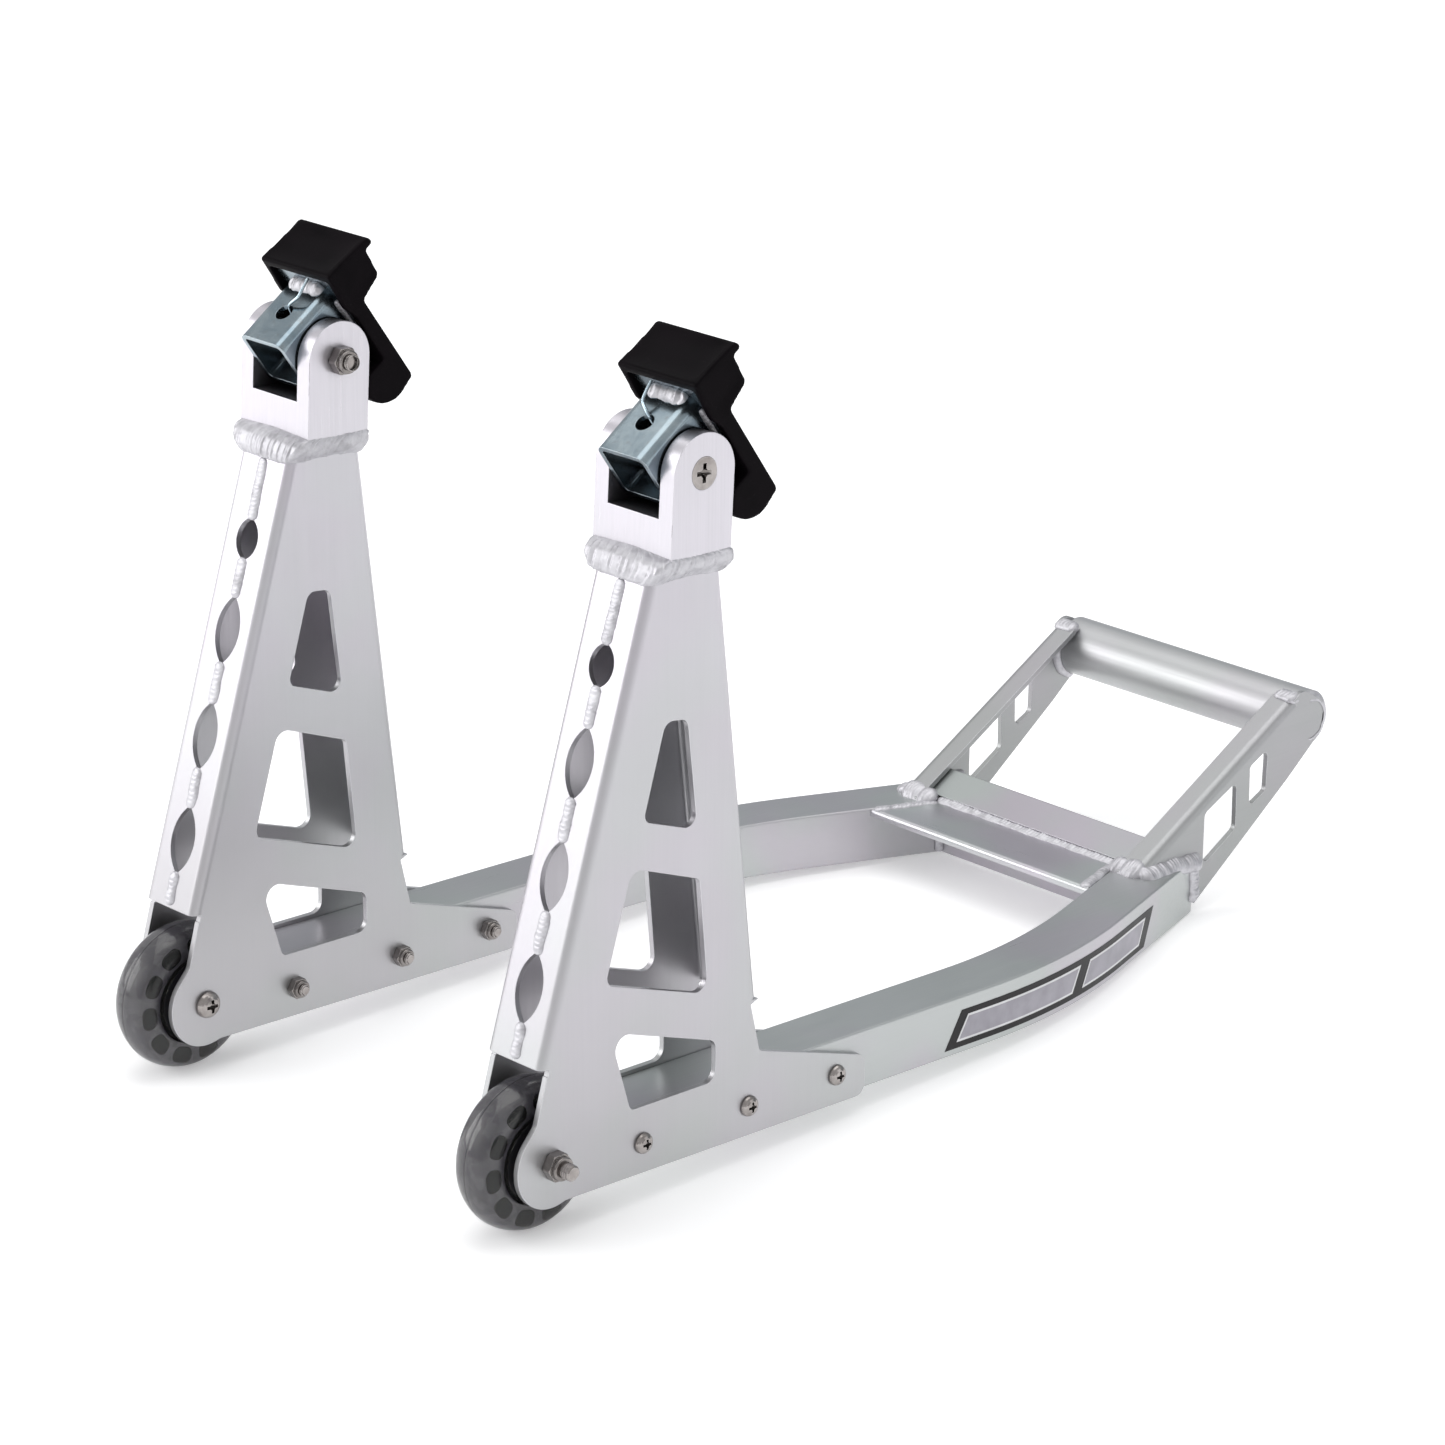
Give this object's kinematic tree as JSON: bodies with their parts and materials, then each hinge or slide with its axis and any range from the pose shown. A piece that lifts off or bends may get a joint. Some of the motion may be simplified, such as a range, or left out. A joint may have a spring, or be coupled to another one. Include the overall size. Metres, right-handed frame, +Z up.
{
  "type": "paddock stand",
  "caption": "Aluminium front paddock stand: tall tapered sheet uprights on small wheels, swivelling rubber-topped pads, curved box rails and a low lifting handle at the back.",
  "frame": {"origin": "on the floor, midway between the uprights and midway between the front of the wheels and the back of the handle", "axes": "+X across the stand to its right-hand upright, seen from the wheels; +Y from the wheels to the handle; +Z up"},
  "size_m": [0.325, 0.6726, 0.4136],
  "materials": {
    "anodised_aluminium": "satin silver anodising over fine brushing",
    "weld_bead": "pale matte rippled weld",
    "zinc_steel": "bright bluish zinc plating",
    "fastener_steel": "bright stainless steel",
    "black_rubber": "satin moulded rubber",
    "smoke_polyurethane": "clear smoke-grey polyurethane",
    "black_plastic": "moulded black plastic"
  },
  "bodies": {
    "frame": {"right_rail": "anodised_aluminium", "right_handle_arm": "anodised_aluminium", "right_outer_upright": "anodised_aluminium", "right_inner_upright": "anodised_aluminium", "right_clevis": "anodised_aluminium", "right_clevis_weld": "weld_bead", "right_seam_weld": "weld_bead", "right_arm_welds": "weld_bead", "left_rail": "anodised_aluminium", "left_handle_arm": "anodised_aluminium", "left_outer_upright": "anodised_aluminium", "left_inner_upright": "anodised_aluminium", "left_clevis": "anodised_aluminium", "left_clevis_weld": "weld_bead", "left_seam_weld": "weld_bead", "left_arm_welds": "weld_bead", "crossbar_angle": "anodised_aluminium", "rear_strip": "anodised_aluminium", "handle_tube": "anodised_aluminium", "crossbar_welds": "weld_bead", "rail_bolts": "fastener_steel", "rail_nuts": "fastener_steel", "axle_bolts": "fastener_steel", "axle_nuts": "fastener_steel", "axle_spacers": "fastener_steel", "pivot_bolts": "fastener_steel", "pivot_nuts": "fastener_steel", "pivot_sleeves": "fastener_steel"},
    "right_wheel": {"right_tyre": "smoke_polyurethane", "right_hub": "black_plastic", "right_bearings": "fastener_steel"},
    "right_pad": {"right_pad_boot": "black_rubber", "right_pad_bracket": "zinc_steel", "right_holder_tube": "zinc_steel", "right_holder_weld": "zinc_steel", "right_retaining_wire": "fastener_steel"},
    "left_wheel": {"left_tyre": "smoke_polyurethane", "left_hub": "black_plastic", "left_bearings": "fastener_steel"},
    "left_pad": {"left_pad_boot": "black_rubber", "left_pad_bracket": "zinc_steel", "left_holder_tube": "zinc_steel", "left_holder_weld": "zinc_steel", "left_retaining_wire": "fastener_steel"}
  },
  "joints": [
    {"name": "right_wheel_spin", "type": "hinge", "parent": "frame", "child": "right_wheel", "pos_m": [0.1285, -0.29835, 0.038], "axis": [1, 0, 0], "continuous": true},
    {"name": "right_pad_pivot", "type": "hinge", "parent": "frame", "child": "right_pad", "pos_m": [0.1285, -0.20992, 0.3562], "axis": [1, 0, 0], "range_deg": [0, 55]},
    {"name": "left_wheel_spin", "type": "hinge", "parent": "frame", "child": "left_wheel", "pos_m": [-0.1285, -0.29835, 0.038], "axis": [1, 0, 0], "continuous": true},
    {"name": "left_pad_pivot", "type": "hinge", "parent": "frame", "child": "left_pad", "pos_m": [-0.1285, -0.20992, 0.3562], "axis": [1, 0, 0], "range_deg": [0, 55]}
  ]
}
